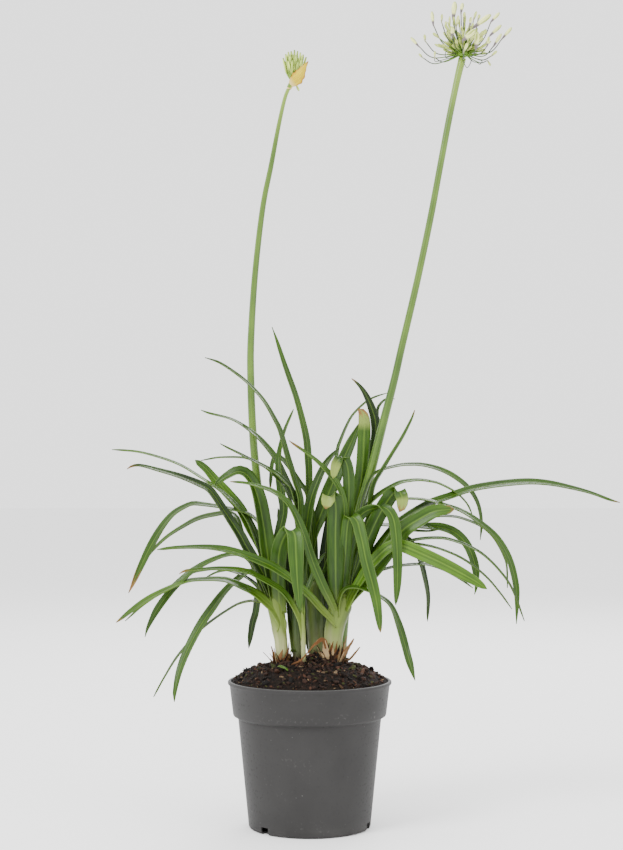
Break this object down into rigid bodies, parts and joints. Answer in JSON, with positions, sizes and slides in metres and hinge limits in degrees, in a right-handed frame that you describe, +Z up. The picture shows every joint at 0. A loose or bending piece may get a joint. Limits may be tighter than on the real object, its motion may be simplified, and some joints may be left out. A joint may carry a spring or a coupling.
{
  "type": "agapanthus plant",
  "caption": "Agapanthus in a grey nursery pot: strap leaves, one open umbel of buds and one half-open head on tall bare stalks.",
  "frame": {"origin": "centre of the pot's flat underside", "axes": "+Z up from the pot's underside to the open head; the pictured side faces -Y; +X is to the right in the picture"},
  "size_m": [0.5424, 0.17, 0.857],
  "materials": {
    "pot_plastic": "satin",
    "soil": "matte",
    "leaf": "satin",
    "leaf_dark": "satin",
    "stalk": "satin",
    "bud": "satin",
    "bud_green": "satin",
    "bract": "satin",
    "dry": "matte",
    "scrap": "satin"
  },
  "bodies": {
    "root": {"pot": "pot_plastic", "soil": "soil", "shoot_left": "leaf", "shoot_centre": "leaf_dark", "shoot_small": "leaf", "shoot_back": "leaf", "shoot_right": "leaf", "stalk_left": "stalk", "stalk_right": "stalk", "umbel": "bud", "bud_head": "bud_green", "spathe": "bract", "dry_sheath_left": "dry", "dry_sheath_right": "dry", "leaf_scrap": "scrap"}
  },
  "joints": []
}
